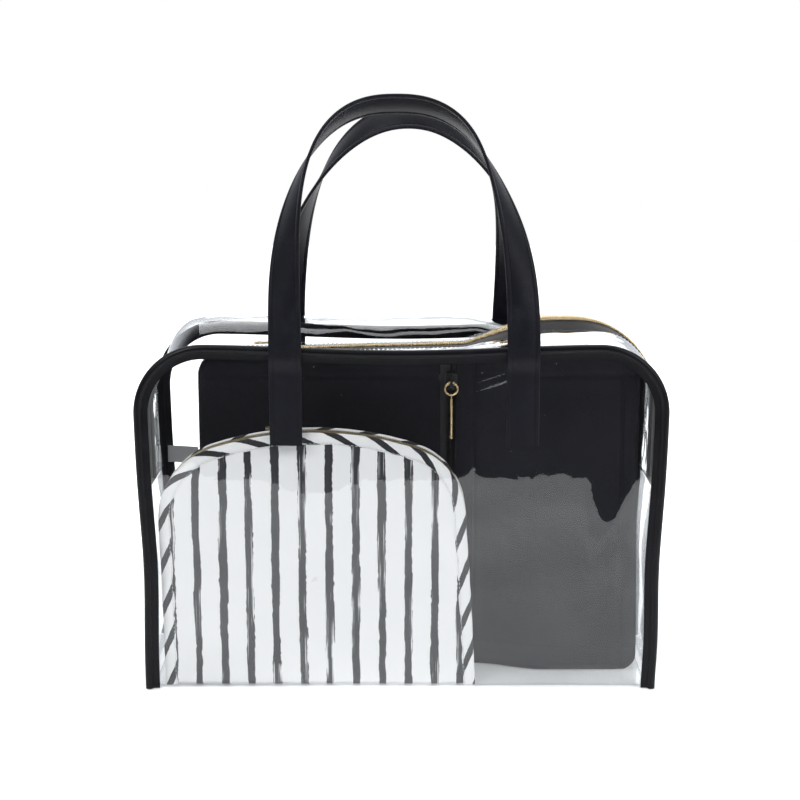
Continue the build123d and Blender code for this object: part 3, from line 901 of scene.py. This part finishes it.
def coil(name, frames, side):
    """One half of a zipper's coil: a flattened helix sewn on a tape, lapping over the middle."""
    phase = 0.5 if side > 0 else 0.0
    pts = [f[0] for f in frames]
    at = np.concatenate([[0], np.cumsum([(b - a).length for a, b in zip(pts, pts[1:])])])
    turns = int(at[-1] / COIL_PITCH) - 1
    steps = np.arange(turns * COIL_STEPS)
    where = (steps / COIL_STEPS + 0.5 + phase) * COIL_PITCH
    theta = 2 * math.pi * steps / COIL_STEPS

    def along(k):
        return np.stack([np.interp(where, at, [f[k][c] for f in frames]) for c in range(3)], 1)

    centre, out = along(0), along(2)
    middle, half = (COIL_REACH - 0.25 * MM) / 2, (COIL_REACH + 0.25 * MM) / 2
    over = side * (middle - half * np.cos(theta))
    lift = TAPE / 2 + 1.0 * MM + 0.72 * MM * np.sin(theta)
    path = centre + out * lift[:, None]
    path[:, 1] += over
    step = np.gradient(path, axis=0)
    step /= np.linalg.norm(step, axis=1)[:, None]
    a_dir = np.cross(step, np.roll(step, 1, axis=0) + out)
    a_dir /= np.maximum(np.linalg.norm(a_dir, axis=1)[:, None], 1e-9)
    b_dir = np.cross(step, a_dir)
    strands = []
    for k in range(COIL_SIDES):
        turn = 2 * math.pi * k / COIL_SIDES
        strands.append(path + COIL_WIRE * (a_dir * math.cos(turn) + b_dir * math.sin(turn)))
    verts = np.stack(strands, 1).reshape(-1, 3)
    uvs = [(w, k * 0.3 * MM) for w in where for k in range(COIL_SIDES)]
    return finish_mesh(name, verts, tube_faces(len(path), COIL_SIDES), uvs, sharp=80)


def make_zipper_half(name, side):
    """One side of the top zipper: its tape, the seam that sews it to the film, and its coil."""
    line = with_normals(zipper_path())
    profile = flat_oval(TAPE_WIDTH - 0.6 * MM, TAPE)
    middle = side * (TAPE_WIDTH + 0.6 * MM) / 2
    tape = sweep(f"{name}_tape", [(p + Y * middle, Y, out) for p, _, out in line], profile)
    dress(tape, "black_tape", "bag", [f"{name}_zipper_tape"])
    seam = [(p + Y * side * 14.6 * MM + out * 1.05 * MM, out) for p, _, out in line]
    sewn = stitches(f"{name}_zipper_thread", seam, radius=0.26 * MM)
    dress(sewn, "black_tape", "bag", material=BLACK_THREAD)
    teeth = coil(f"{name}_coil", line[4:-4], side)
    dress(teeth, "gold_coil", "bag", [f"{name}_zipper_coil"])
    for piece in (tape, sewn, teeth):
        for vertex in piece.data.vertices:
            vertex.co = turn_zipper(vertex.co)


def make_label():
    """A blank label, curling a little away from the panel it is sewn to."""
    low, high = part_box("care_label")
    rows = []
    for z in np.linspace(low.z, high.z, 14):
        row = []
        for x in np.linspace(low.x, high.x, 22):
            away = (x - low.x) / (high.x - low.x)
            y = low.y - 1.6 * MM * away * away + 0.25 * MM * math.sin(z / (4 * MM))
            row.append((x, y, z - 1.0 * MM * away))
        rows.append(row)
    obj = grid("care_label_blank", rows, thickness=0.35 * MM)
    dress(obj, "grey_label", "bag", ["care_label"])


# ---------------------------------------------------------------- strap handles

STRAP, STRAP_THICK = 23 * MM, 2.4 * MM
HANDLE_HALF = 83.5 * MM
SEAM_IN = 3.4 * MM
SEW_LOW, SEW_HIGH = 181 * MM, 233 * MM
ARCH_FOOT, ARCH_RISE = 262 * MM, 158 * MM
STRAP_ROLL = 118
SEWN_OUT, LOOP_OUT = 60.55 * MM, 2.95 * MM  # the strap's way out from the middle, and more above its seam
LEAN_FROM, LEAN_OVER = 249 * MM, 12 * MM  # where a leaning loop bends, and over what height
ROW_PITCH = 3.5 * MM
SHOULDER_FULL = 2.0 * MM  # how much the back arch's right shoulder bulges and the front one's sinks


def strap_line(shift, square, skew):
    """A handle's centre line in the XZ plane from one sewn end over the arch to the other."""
    leg = [(shift - HANDLE_HALF, z) for z in np.arange(SEW_LOW, ARCH_FOOT, 3 * MM)]
    arch = []
    for turn in np.linspace(0, math.pi, 181):
        reach = math.copysign(abs(math.cos(turn)) ** (2 / square), math.cos(turn))
        height = max(math.sin(turn), 0.0) ** (2 / square)
        full = SHOULDER_FULL * math.copysign(bell((turn - 0.80 * math.pi) / 0.35), skew)
        x = shift - HANDLE_HALF * reach + skew * math.sin(turn) + full
        arch.append((x, ARCH_FOOT + ARCH_RISE * height + 0.7 * full))
    mirrored = [(2 * shift - x, z) for x, z in leg[::-1]]
    return resample(leg + arch + mirrored, 230)


def strap_stations(side, shift, lean, square, skew):
    """Centres along a handle with its width direction and its outer face's normal at each."""
    hinge = Vector((0, -HINGE_Y, HINGE_Z))
    stations = []
    for at, along, _ in with_normals(strap_line(shift, square, skew)):
        rise = min(max((at.z - ARCH_FOOT) / ARCH_RISE, 0.0), 1.0)
        sine = rise ** (square / 2)
        roll = math.radians(STRAP_ROLL) * sine
        out = SEWN_OUT + LOOP_OUT * smooth_step((at.z - SEW_HIGH) / (11 * MM))
        outward = -Y.cross(along)
        normal = Y * -math.cos(roll) + outward * math.sin(roll)
        across = along.cross(normal).normalized()
        amount = lean * smooth_step((at.z - LEAN_FROM) / LEAN_OVER)
        turned = Matrix.Rotation(-amount, 3, "X")
        centre = turned @ (Vector((at.x, -out, at.z)) - hinge) + hinge
        across, normal = turned @ across, turned @ normal
        if side > 0:
            centre.y, across.y, normal.y = -centre.y, -across.y, -normal.y
        stations.append((centre, across, normal))
    return stations


def make_handle(name, side, shift, lean, square, skew):
    """One strap, sewn to the panel at both ends, bending where its loop swings."""
    stations = strap_stations(side, shift, lean, square, skew)
    dip = STRAP / 2 - SEAM_IN
    strap = sweep(f"{name}_strap", stations, flat_oval(STRAP, STRAP_THICK, (-dip, dip)))
    threads = []
    for face in (-1, 1):
        for edge in (-dip, dip):
            line = [(c + a * edge + n * face * 0.80 * MM, n * face) for c, a, n in stations]
            threads.append(stitches(f"{name}_row{face}{edge > 0}", line, pitch=ROW_PITCH))
    for ends in (stations, stations[::-1]):
        heights = [c.z for c, _, _ in ends]
        for sewn_at in (SEW_LOW + 3 * MM, SEW_HIGH - 3 * MM):
            index = min(range(len(ends) // 2), key=lambda i: abs(heights[i] - sewn_at))
            c, a, n = ends[index]
            line = [(c + a * s + n * 1.0 * MM, n) for s in np.linspace(-dip, dip, 8)]
            threads.append(stitches(f"{name}_cross{index}", line, pitch=ROW_PITCH))
    sewn = join(f"{name}_stitching", threads)
    nodes = [name, f"{name}_left_end", f"{name}_right_end"]
    dress(strap, "black_strap", None, nodes)
    dress(sewn, "black_strap", None, material=BLACK_THREAD)
    for piece in (strap, sewn):
        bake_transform(piece)


# ---------------------------------------------------------------- striped dome pouch

rim_low, rim_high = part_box("striped_pouch_front_binding")
DOME_X = (rim_low.x + rim_high.x) / 2
DOME_FOOT = (rim_high.x - rim_low.x) / 2
DOME_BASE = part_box("striped_pouch_gusset")[0].z
DOME_HALF, DOME_SPRING, DOME_RISE, SHOULDER_R = 110.5 * MM, 125 * MM, 63 * MM, 54 * MM
DOME_FRONT, DOME_BACK = rim_low.y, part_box("striped_pouch_back_binding")[1].y
BINDING = 9 * MM
CROWNED = 3.6 * MM  # how far a face stands out in its middle
SHOULDER_X = DOME_HALF - SHOULDER_R
CROWN_DROP = (SHOULDER_X**2 - (DOME_RISE - SHOULDER_R) ** 2) / (2 * (DOME_RISE - SHOULDER_R))
CROWN_R = DOME_RISE + CROWN_DROP
CROWN_EDGE = math.atan2(CROWN_DROP, SHOULDER_X)


def dome_line(inset, count, low=0.0):
    """The dome's outline inside its edge by an inset, from the left foot over to the right."""
    points = []
    foot = DOME_FOOT - inset
    lean = foot - DOME_HALF + inset
    for s in np.linspace(0, 1, 24)[:-1]:
        points.append((-foot + lean * s, low + (DOME_SPRING - low) * s))
    arcs = [
        (-SHOULDER_X, DOME_SPRING, SHOULDER_R, math.pi, math.pi - CROWN_EDGE),
        (0.0, DOME_SPRING - CROWN_DROP, CROWN_R, math.pi - CROWN_EDGE, CROWN_EDGE),
        (SHOULDER_X, DOME_SPRING, SHOULDER_R, CROWN_EDGE, 0.0),
    ]
    for cx, cz, r, a0, a1 in arcs:
        for a in np.linspace(a0, a1, 40)[:-1]:
            points.append((cx + (r - inset) * math.cos(a), cz + (r - inset) * math.sin(a)))
    for s in np.linspace(0, 1, 24):
        points.append((DOME_HALF - inset + lean * s, DOME_SPRING + (low - DOME_SPRING) * s))
    points = resample(points, count)
    smooth = points.copy()
    smooth[1:-1] = (points[:-2] + 2 * points[1:-1] + points[2:]) / 4
    foot_push = 3.5 * MM * np.clip(1 - smooth[:, 1] / 0.1, 0, 1)
    smooth[:, 0] += foot_push - 1.5 * MM * np.exp(-(((smooth[:, 1] - 0.13) / 0.03) ** 2))
    return smooth + np.array([DOME_X, DOME_BASE])


def dome_panel(name, y, side, node):
    """A stuffed dome face: crowned in the middle, drawn in and puckered along its binding."""
    rim = dome_line(BINDING - 1.5 * MM, 150, 1.0 * MM)
    foot = np.linspace(rim[-1], rim[0], 60)[1:-1]
    loop = np.concatenate([rim, foot])
    centre = np.array([DOME_X, DOME_BASE + 82 * MM])
    rows = []
    for t in np.linspace(1, 0.02, 42):
        row = []
        for k, p in enumerate(loop):
            x, z = centre + (p - centre) * t
            crown = CROWNED * (1 - t**3.2)
            low = smooth_step((z - DOME_BASE) / 0.03)
            wander = 2 * ripple(k * 0.01, 0, 0.05, 3)
            pucker = 0.55 * MM * math.sin(k * 0.9 + wander) * bell((1 - t) / 0.07)
            wave = 1.1 * MM * ripple(x, z, 0.055, 31 + side) + 0.4 * MM * ripple(x, z, 0.022, 33)
            wave *= (1 - t**6) * (0.35 + 0.65 * low)
            row.append((x, y + side * (crown * (0.6 + 0.4 * low) + wave + pucker), z))
        rows.append(row)
    obj = grid(name, rows, wrap=True)
    mesh = obj.data
    last = (len(rows) - 1) * len(loop)
    made = bmesh.new()
    made.from_mesh(mesh)
    made.verts.ensure_lookup_table()
    made.faces.new([made.verts[last + k] for k in range(len(loop))])
    if side > 0:
        bmesh.ops.reverse_faces(made, faces=made.faces)
    bmesh.ops.triangulate(made, faces=[f for f in made.faces if len(f.verts) > 4])
    made.to_mesh(mesh)
    made.free()
    thicken(obj, 1.0 * MM)
    obj.data.shade_smooth()
    dress(obj, "striped_cloth", "striped_pouch", [node])


def dome_binding(name, side, node):
    """Bias binding folded over the seam: a soft, slightly lumpy strip with a stitched inner edge."""
    y = DOME_FRONT if side < 0 else DOME_BACK
    line = with_normals(dome_line(BINDING / 2, 230))
    stations, seam = [], []
    for i, (p, _, out) in enumerate(line):
        lump = 1 + 0.07 * ripple(i * 0.01, 0, 0.05, 41 + side)
        centre = p + Y * (y - side * 1.3 * MM + side * 0.25 * MM * ripple(i * 0.01, 1, 0.09, 43))
        stations.append((centre, out * lump, Y * -side))
        seam.append((centre - out * 3.3 * MM + Y * side * 1.32 * MM, Y * side))
    band = sweep(name, stations, flat_oval(BINDING, 3.0 * MM, (-3.3 * MM,)))
    dress(band, "striped_binding", "striped_pouch", [node])
    sewn = stitches(f"{name}_thread", seam, pitch=3.0 * MM, length=2.2 * MM, radius=0.22 * MM)
    dress(sewn, "striped_binding", "striped_pouch", material=WHITE_THREAD)


def dome_gusset():
    """The pouch's base and lower sides in one strip, a little slack between the two bindings."""
    inset, depth = 2.4 * MM, (DOME_BACK - DOME_FRONT) / 2 - 1.6 * MM
    rim = dome_line(inset, 300)
    head, floor = DOME_BASE + DOME_SPRING + 3 * MM, DOME_BASE + 0.6 * MM
    left = [p for p in rim if p[0] < DOME_X and p[1] < head]
    right = [p for p in rim if p[0] > DOME_X and p[1] < head]
    round_r = 9 * MM
    corners = [tuple(left[-1]), (left[0][0], floor), (right[-1][0], floor), tuple(right[0])]
    path = fillet_path(corners, [round_r, round_r], 3 * MM)
    line = with_normals(resample(path, 170))
    rows = []
    for i, (p, t, out) in enumerate(line):
        row = []
        for v in np.linspace(-1, 1, 18):
            slack = 1.6 * MM * (1 - v * v) * (1 if abs(t.z) > 0.5 else 0.0)
            wave = 0.6 * MM * ripple(i * 0.01, v * 0.03, 0.05, 51) * (1 - v * v) * (abs(t.z) > 0.5)
            row.append(p + Y * ((DOME_FRONT + DOME_BACK) / 2 + v * depth) + out * (slack + wave))
        rows.append(row)
    obj = grid("striped_gusset", rows, thickness=0.9 * MM)
    dress(obj, "striped_cloth", "striped_pouch", ["striped_pouch_gusset"])


def dome_zipper(name, side):
    """One side of the striped pouch's zipper, over its top: a tape and a coil."""
    middle = (DOME_FRONT + DOME_BACK) / 2
    whole = dome_line(2.3 * MM, 330)
    line = with_normals([p for p in whole if p[1] > DOME_BASE + DOME_SPRING])
    low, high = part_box(f"striped_pouch_{name}_tape")
    width = high.y - low.y
    stations = [(p + Y * (low.y + high.y) / 2, Y, out) for p, _, out in line]
    tape = sweep(f"striped_{name}_tape", stations, flat_oval(width, TAPE))
    dress(tape, "black_tape", "striped_pouch", [f"striped_pouch_{name}_tape"])
    shifted = [(p + Y * middle, t, out) for p, t, out in line]
    teeth = coil(f"striped_{name}_coil", shifted[2:-2], side)
    dress(teeth, "antique_coil", "striped_pouch", [f"striped_pouch_{name}_coil"])


# ---------------------------------------------------------------- black pouch

sack_low, sack_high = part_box("black_pouch_gusset")
SACK_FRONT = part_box("black_pouch_left_front")[0].y
SACK_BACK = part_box("black_pouch_back")[1].y
SACK_R = 12 * MM
CUT_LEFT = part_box("black_pouch_left_front")[1].x
CUT_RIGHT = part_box("black_pouch_right_front")[0].x
ZIP_X = (CUT_LEFT + CUT_RIGHT) / 2
SACK_X = (sack_low.x + sack_high.x) / 2
SACK_HALF = (sack_high.x - sack_low.x) / 2
SACK_CLOTH = 0.9 * MM
SLUMP = 14 * MM
HEM_TOP, HEM_FOOT, HEM_SIDE = 12.5 * MM, 17 * MM, 12 * MM  # seam lines inside the pouch's edges
FLAP_SEAMS = (10.4 * MM, 16.2 * MM)  # the two seams to the right of the zipper


def sack_half(z, inset=0.0):
    """Half width of the black pouch at a height, with its corners rounded."""
    r = SACK_R
    over = max(z - (sack_high.z - r), (sack_low.z + r) - z, 0.0)
    return SACK_HALF - inset - r + math.sqrt(max(r * r - over * over, 0.0))


def sack_top(x):
    """How far the soft top hem stands over its solid: higher at the corners, sagging between."""
    share = (x - sack_low.x) / (sack_high.x - sack_low.x)
    return (2.2 - 2.0 * math.sin(math.pi * share) ** 2 + 0.8 * ripple(x, 0, 0.07, 61)) * MM


def sack_push(x, z):
    """How far the pouch's front slumps towards the viewer: its lower right only."""
    right = smooth_step((x - 0.055) / 0.05)
    return -SLUMP * smooth_step((0.13 - z) / 0.12) * right


def hem_dip(x, z):
    """The topstitched hem lines, and the raised welt between each line and the edge."""
    pull = 0.0
    for gap in (sack_high.z - HEM_TOP - z, z - sack_low.z - HEM_FOOT, sack_high.x - HEM_SIDE - x):
        pull -= 1.1 * MM * bell(gap / (1.4 * MM))
    for seam in FLAP_SEAMS:
        pull -= 0.55 * MM * bell((x - ZIP_X - seam) / (1.0 * MM))
    return pull


def sack_panel(name, low_x, high_x, y, side, node):
    """A face of the black pouch, softly creased, its rim rounded over towards the gusset."""
    zs = np.concatenate([
        sack_low.z + SACK_R * (1 - np.cos(np.linspace(0, math.pi / 2, 10)))[:-1],
        np.linspace(sack_low.z + SACK_R, sack_high.z - SACK_R, 112),
        sack_high.z - SACK_R * (1 - np.cos(np.linspace(math.pi / 2, 0, 10)))[1:],
    ])
    columns = max(8, int((high_x - low_x) / (1.7 * MM)))
    rows = []
    for z in zs:
        half = sack_half(z)
        left, right = max(low_x, SACK_X - half), min(high_x, SACK_X + half)
        row = []
        for u in np.linspace(0, 1, columns):
            x = left + (right - left) * u
            rim = min(SACK_X + half - x, x - SACK_X + half, z - sack_low.z, sack_high.z - z)
            roll = 1.6 * MM * (1 - smooth_step(rim / (4 * MM)))
            wave = 1.1 * MM * ripple(x * 0.6, z, 0.07, 71 + side) + 0.5 * MM * ripple(x, z, 0.028, 73)
            soft = 0.9 * MM * ripple(x, z * 0.35, 0.016, 75) * bell((sack_high.z - z - 6 * MM) / 0.02)
            wave = (wave + 0.5 * soft) * smooth_step(rim / 0.03) * smooth_step(abs(x - ZIP_X) / 0.03)
            dip = hem_dip(x, z) if side < 0 else hem_dip(-x + 2 * SACK_X, z) * 0.5
            lift = sack_top(x) * smooth_step((z - sack_high.z + 0.03) / 0.03)
            push = sack_push(x, z) if side < 0 else 0.0
            row.append((x, y + push + side * (wave * 0.8 + dip - roll), z + lift))
        rows.append(row)
    obj = grid(name, rows, thickness=1.0 * MM)
    dress(obj, "black_cloth", "black_pouch", [node])


def sack_seams():
    """Topstitching along the hems and beside the zipper flap."""
    y = SACK_FRONT - 0.15 * MM
    rows = []
    top, foot = sack_high.z - HEM_TOP, sack_low.z + HEM_FOOT
    spans = [
        ((sack_low.x + 5 * MM, top), (CUT_LEFT - 2 * MM, top)),
        ((CUT_RIGHT + 4 * MM, top), (sack_high.x - 3 * MM, top)),
        ((CUT_RIGHT + 4 * MM, foot), (sack_high.x - 3 * MM, foot)),
        ((sack_high.x - HEM_SIDE, foot), (sack_high.x - HEM_SIDE, top)),
    ]
    for seam in FLAP_SEAMS:
        spans.append(((ZIP_X + seam, sack_low.z + 4 * MM), (ZIP_X + seam, sack_high.z - 4 * MM)))
    for (x0, z0), (x1, z1) in spans:
        line = []
        for s in np.linspace(0, 1, 60):
            x, z = x0 + (x1 - x0) * s, z0 + (z1 - z0) * s
            line.append((Vector((x, y + sack_push(x, z), z)), -Y))
        rows.append(stitches("hem", line, pitch=3.2 * MM, radius=0.26 * MM))
    obj = join("black_pouch_stitching", rows)
    dress(obj, "black_cloth", "black_pouch", material=BLACK_THREAD)


def sack_gusset():
    """The edge strip all round the black pouch, puffed out a little between its two faces."""
    low, high = (sack_low.x, sack_low.z), (sack_high.x, sack_high.z)
    middle = (SACK_X, low[1])
    corners = [middle, low, (low[0], high[1]), high, (high[0], low[1]), middle]
    path = fillet_path(corners, [SACK_R] * 4, 3 * MM)
    line = with_normals(resample(path, 340))
    rows = []
    for i, (p, t, out) in enumerate(line):
        row = []
        for v in np.linspace(0, 1, 20):
            push = sack_push(p.x, p.z) * (1 - v) ** 2
            y = SACK_FRONT + 1.6 * MM + (SACK_BACK - SACK_FRONT - 3.2 * MM) * v + push
            puff = 2.0 * MM * math.sin(math.pi * v) + 0.9 * MM * ripple(i * 0.01, v * 0.05, 0.06, 81)
            puff *= abs(t.z)
            top = sack_top(p.x) * smooth_step((p.z - sack_high.z + 0.03) / 0.03) * (1 - 0.9 * v)
            row.append(p + out * (puff - SACK_CLOTH) + Vector((0, y, top)))
        rows.append(row)
    obj = grid("black_gusset", rows, thickness=SACK_CLOTH)
    dress(obj, "black_cloth", "black_pouch", ["black_pouch_gusset"])


def sack_zipper():
    """The black pouch's upright zipper: two tapes and two coils."""
    for name, side in (("left", -1), ("right", 1)):
        box_low, box_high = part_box(f"black_pouch_{name}_tape")
        x, y = (box_low.x + box_high.x) / 2, (box_low.y + box_high.y) / 2
        profile = flat_oval(box_high.x - box_low.x, TAPE)
        run = np.linspace(box_low.z + 1 * MM, box_high.z - 2 * MM, 60)
        stations = [(Vector((x, y, z)), Vector((1, 0, 0)), -Y) for z in run]
        tape = sweep(f"black_{name}_tape", stations, profile)
        dress(tape, "black_tape", "black_pouch", [f"black_pouch_{name}_tape"])
        teeth_low, teeth_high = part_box(f"black_pouch_{name}_coil")
        run = np.linspace(teeth_low.z, teeth_high.z, 80)
        flat = [(Vector((z, 0, 0)), Vector((1, 0, 0)), Vector((0, 0, 1))) for z in run]
        teeth = coil(f"black_{name}_coil", flat, side)
        upright = Matrix(((0, 1, 0, ZIP_X), (0, 0, -1, y), (1, 0, 0, 0), (0, 0, 0, 1)))
        teeth.data.transform(upright)
        dress(teeth, "black_coil", "black_pouch", [f"black_pouch_{name}_coil"])


def sack_flap():
    """A soft lip sewn down beside the zipper, its free edge lying over the coil."""
    low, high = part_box("black_pouch_flap")
    rows = []
    for z in np.linspace(low.z - 4 * MM, high.z + 5 * MM, 110):
        row = []
        for u in np.linspace(0, 1, 14):
            x = low.x - 2.2 * MM + (high.x - low.x + 2.2 * MM) * u
            free = (1 - u) ** 2
            y = low.y + 0.6 * MM - free * (1.2 * MM + 0.5 * MM * ripple(z, 0, 0.05, 91)) + sack_push(x, z)
            row.append((x + 0.5 * MM * ripple(z, 1, 0.04, 93) * free, y, z))
        rows.append(row)
    obj = grid("black_flap", rows, thickness=0.8 * MM)
    dress(obj, "black_cloth", "black_pouch", ["black_pouch_flap"])


# ---------------------------------------------------------------- build it all

make_body_film()
for gusset, which in (("left_gusset", -1), ("right_gusset", 1)):
    make_side_gusset(gusset, which)
for end, which in (("front", -1), ("back", 1)):
    make_top_strip(f"{end}_top_strip", which)
    make_piping(f"{end}_piping", which)
    make_zipper_half(end, which)
make_label()
make_handle("front_handle", -1, 2 * MM, math.radians(7), 2.5, -5.5 * MM)
make_handle("back_handle", 1, -2 * MM, math.radians(20), 2.1, 7 * MM)

dome_panel("striped_face", DOME_FRONT + 1.0 * MM, -1, "striped_pouch_front")
dome_panel("striped_rear", DOME_BACK - 1.0 * MM, 1, "striped_pouch_back")
dome_binding("striped_front_rim", -1, "striped_pouch_front_binding")
dome_binding("striped_back_rim", 1, "striped_pouch_back_binding")
dome_gusset()
dome_zipper("front", -1)
dome_zipper("back", 1)

front_y = SACK_FRONT + 0.5 * MM
sack_panel("black_left_face", sack_low.x, CUT_LEFT + 1 * MM, front_y, -1, "black_pouch_left_front")
sack_panel("black_right_face", CUT_RIGHT - 1 * MM, sack_high.x, front_y, -1, "black_pouch_right_front")
sack_panel("black_rear", sack_low.x, sack_high.x, SACK_BACK - 0.5 * MM, 1, "black_pouch_back")
sack_seams()
sack_gusset()
sack_zipper()
sack_flap()

slots = {part["node"]: part["material_slot"] for part in frame["record"]["subparts"]}
for node, obj in frame["nodes"].items():
    if not obj.hide_render:
        obj.data.materials.clear()
        obj.data.materials.append(MATERIALS[slots[node]])
        obj.data.shade_smooth()
        obj.data.set_sharp_from_angle(angle=math.radians(35))
